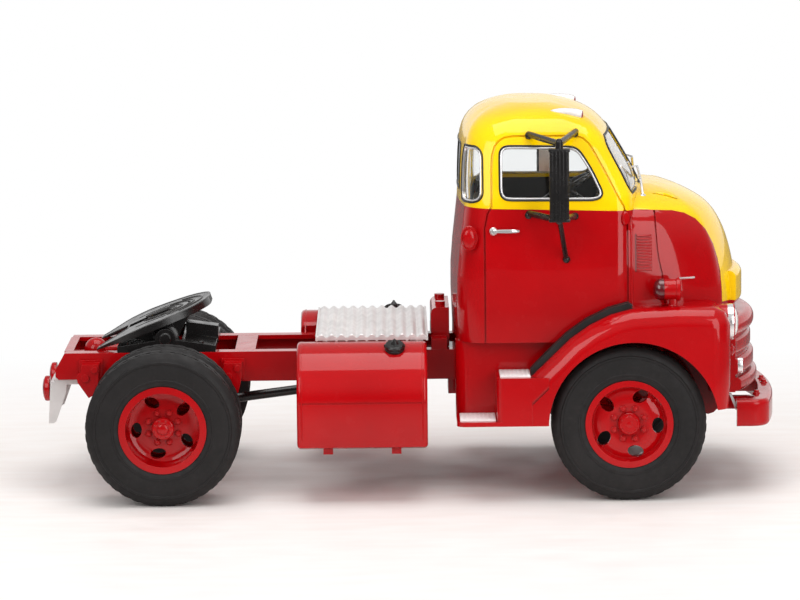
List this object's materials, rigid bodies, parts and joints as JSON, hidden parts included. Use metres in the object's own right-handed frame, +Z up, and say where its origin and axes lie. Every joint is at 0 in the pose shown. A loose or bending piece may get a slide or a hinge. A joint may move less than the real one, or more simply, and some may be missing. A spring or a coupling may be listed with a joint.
{
  "type": "scale model semi truck tractor unit",
  "caption": "Die-cast scale model of a cab-over tractor unit with rolling wheels, paired rear tyres, side tanks and a tilting fifth wheel.",
  "frame": {"origin": "ground level under the middle of the overall box", "axes": "+X toward the front bumper, +Y toward the left side, +Z up"},
  "size_m": [0.1159, 0.0584, 0.0604],
  "materials": {
    "red_paint": "gloss",
    "yellow_paint": "gloss",
    "tyre": "matt",
    "black_plastic": "satin",
    "chrome": "polished",
    "silver_paint": "satin",
    "clear": "clear",
    "lamp_red": "gloss",
    "black_rubber": "matt"
  },
  "bodies": {
    "chassis": {"cab_floor": "black_plastic", "cab_lower": "red_paint", "cab_rear_mount": "red_paint", "cab_upper": "yellow_paint", "dashboard": "black_plastic", "deck_plate": "silver_paint", "door_handles": "chrome", "driveshaft": "black_plastic", "engine_and_gearbox": "red_paint", "fender_left": "red_paint", "fender_right": "red_paint", "fender_strips": "black_rubber", "fifth_wheel_mount": "black_plastic", "frame_crossmembers": "red_paint", "frame_rails": "red_paint", "front_axle": "red_paint", "front_bumper": "red_paint", "front_lamps": "lamp_red", "fuel_caps": "black_plastic", "fuel_tank_left": "red_paint", "fuel_tank_right": "red_paint", "grille": "red_paint", "headlamp_lenses": "clear", "headlamp_rims": "chrome", "leaf_springs": "red_paint", "marker_lamps": "lamp_red", "mirror_left": "black_plastic", "mirror_right": "black_plastic", "rear_axle": "red_paint", "rear_glass": "clear", "roof_lamps": "chrome", "seats": "black_plastic", "side_glass": "clear", "spring_hangers": "red_paint", "steering_wheel": "black_plastic", "step_left": "red_paint", "step_right": "red_paint", "step_treads": "silver_paint", "tail_bracket": "silver_paint", "tail_lamps": "lamp_red", "tank_brackets": "red_paint", "windscreen": "clear"},
    "front_right_wheel": {"front_tyre_right": "tyre", "front_rim_right": "red_paint"},
    "front_left_wheel": {"front_tyre_left": "tyre", "front_rim_left": "red_paint"},
    "rear_right_wheels": {"rear_tyres_right": "tyre", "rear_rims_right": "red_paint"},
    "rear_left_wheels": {"rear_tyres_left": "tyre", "rear_rims_left": "red_paint"},
    "fifth_wheel": {"fifth_wheel_plate": "black_plastic"}
  },
  "joints": [
    {"name": "front_right_wheel_spin", "type": "hinge", "parent": "chassis", "child": "front_right_wheel", "pos_m": [0.0338, -0.0236, 0.012], "axis": [0, 1, 0], "continuous": true},
    {"name": "front_left_wheel_spin", "type": "hinge", "parent": "chassis", "child": "front_left_wheel", "pos_m": [0.0338, 0.0236, 0.012], "axis": [0, 1, 0], "continuous": true},
    {"name": "rear_right_wheels_spin", "type": "hinge", "parent": "chassis", "child": "rear_right_wheels", "pos_m": [-0.0382, -0.0218, 0.012], "axis": [0, 1, 0], "continuous": true},
    {"name": "rear_left_wheels_spin", "type": "hinge", "parent": "chassis", "child": "rear_left_wheels", "pos_m": [-0.0382, 0.0218, 0.012], "axis": [0, 1, 0], "continuous": true},
    {"name": "fifth_wheel_tilt", "type": "hinge", "parent": "chassis", "child": "fifth_wheel", "pos_m": [-0.0384, 0, 0.0238], "axis": [0, 1, 0], "range_deg": [0, 20]}
  ]
}
